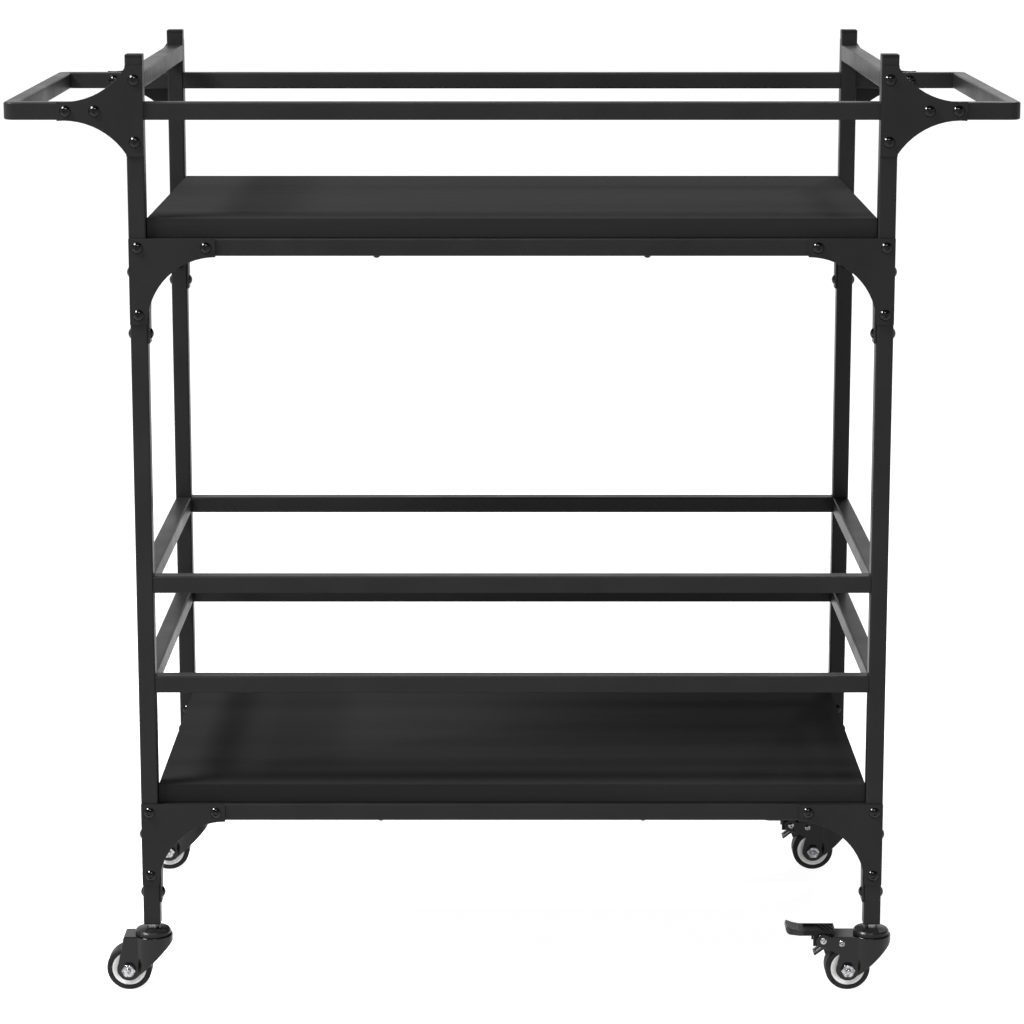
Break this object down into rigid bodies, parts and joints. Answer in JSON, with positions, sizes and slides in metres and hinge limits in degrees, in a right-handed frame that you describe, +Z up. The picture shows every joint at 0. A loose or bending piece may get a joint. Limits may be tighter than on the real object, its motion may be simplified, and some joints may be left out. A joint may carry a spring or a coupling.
{
  "type": "bar cart",
  "caption": "Black tiered bar cart: square-tube frame, shelf boards, guard rails round the lower shelf, push handles at both ends and swivel casters, some braked.",
  "frame": {"origin": "on the floor under the middle of the cart", "axes": "+X along the length towards the braked casters, +Y from the front to the back, +Z up"},
  "size_m": [1.095, 0.4788, 1.052],
  "materials": {
    "frame_black": "satin black powder coat",
    "plate_black": "satin black powder coat on sheet steel",
    "board_black": "matt black laminate on board",
    "bolt_black": "gloss black",
    "cap_black": "matt black",
    "fork_black": "semi-gloss black",
    "pedal_black": "satin black",
    "zinc": "bright zinc plate",
    "hub_white": "pale grey, satin",
    "tyre_black": "black rubber"
  },
  "bodies": {
    "cart": {"post_front_left": "frame_black", "post_front_right": "frame_black", "post_back_left": "frame_black", "post_back_right": "frame_black", "top_rail_front": "frame_black", "top_rail_back": "frame_black", "top_rail_left": "frame_black", "top_rail_right": "frame_black", "guard_rails_front": "frame_black", "guard_rails_back": "frame_black", "guard_rails_left": "frame_black", "guard_rails_right": "frame_black", "top_frame_front": "frame_black", "top_frame_back": "frame_black", "top_frame_left": "frame_black", "top_frame_right": "frame_black", "bottom_frame_front": "frame_black", "bottom_frame_back": "frame_black", "bottom_frame_left": "frame_black", "bottom_frame_right": "frame_black", "handle_left": "frame_black", "handle_right": "frame_black", "handle_gussets": "plate_black", "top_face_gussets": "plate_black", "top_side_gussets": "plate_black", "bottom_face_gussets": "plate_black", "bottom_side_gussets": "plate_black", "top_board": "board_black", "bottom_board": "board_black", "handle_bolts": "bolt_black", "top_shelf_bolts": "bolt_black", "bottom_shelf_bolts": "bolt_black", "board_screws": "bolt_black", "post_caps": "cap_black", "stem_sockets": "cap_black", "rail_end_plugs": "zinc", "swivel_balls": "zinc", "caster_stems": "fork_black"},
    "caster_front_left": {"fork_front_left": "fork_black", "axle_front_left": "zinc"},
    "wheel_front_left": {"hub_front_left": "hub_white", "tyre_front_left": "tyre_black"},
    "caster_front_right": {"fork_front_right": "fork_black", "axle_front_right": "zinc", "brake_pins_front_right": "zinc"},
    "wheel_front_right": {"hub_front_right": "hub_white", "tyre_front_right": "tyre_black"},
    "caster_back_left": {"fork_back_left": "fork_black", "axle_back_left": "zinc"},
    "wheel_back_left": {"hub_back_left": "hub_white", "tyre_back_left": "tyre_black"},
    "caster_back_right": {"fork_back_right": "fork_black", "axle_back_right": "zinc", "brake_pins_back_right": "zinc"},
    "wheel_back_right": {"hub_back_right": "hub_white", "tyre_back_right": "tyre_black"},
    "pedal_front_right": {"pedal_front_right": "pedal_black", "brake_shoe_front_right": "fork_black"},
    "pedal_back_right": {"pedal_back_right": "pedal_black", "brake_shoe_back_right": "fork_black"}
  },
  "joints": [
    {"name": "swivel_front_left", "type": "hinge", "parent": "cart", "child": "caster_front_left", "pos_m": [-0.4055, -0.2155, 0.0636], "axis": [0, 0, 1], "continuous": true},
    {"name": "roll_front_left", "type": "hinge", "parent": "caster_front_left", "child": "wheel_front_left", "pos_m": [-0.4321, -0.2155, 0.0253], "axis": [0, 1, 0], "continuous": true},
    {"name": "swivel_front_right", "type": "hinge", "parent": "cart", "child": "caster_front_right", "pos_m": [0.4055, -0.2155, 0.0636], "axis": [0, 0, 1], "continuous": true},
    {"name": "roll_front_right", "type": "hinge", "parent": "caster_front_right", "child": "wheel_front_right", "pos_m": [0.3789, -0.2155, 0.0253], "axis": [0, 1, 0], "continuous": true},
    {"name": "swivel_back_left", "type": "hinge", "parent": "cart", "child": "caster_back_left", "pos_m": [-0.4055, 0.2155, 0.0636], "axis": [0, 0, 1], "continuous": true},
    {"name": "roll_back_left", "type": "hinge", "parent": "caster_back_left", "child": "wheel_back_left", "pos_m": [-0.4321, 0.2155, 0.0253], "axis": [0, 1, 0], "continuous": true},
    {"name": "swivel_back_right", "type": "hinge", "parent": "cart", "child": "caster_back_right", "pos_m": [0.4055, 0.2155, 0.0636], "axis": [0, 0, 1], "continuous": true},
    {"name": "roll_back_right", "type": "hinge", "parent": "caster_back_right", "child": "wheel_back_right", "pos_m": [0.3789, 0.2155, 0.0253], "axis": [0, 1, 0], "continuous": true},
    {"name": "pedal_front_right", "type": "hinge", "parent": "caster_front_right", "child": "pedal_front_right", "pos_m": [0.351, -0.2155, 0.0586], "axis": [0, -1, 0], "range_deg": [0, 20]},
    {"name": "pedal_back_right", "type": "hinge", "parent": "caster_back_right", "child": "pedal_back_right", "pos_m": [0.351, 0.2155, 0.0586], "axis": [0, -1, 0], "range_deg": [0, 20]}
  ]
}
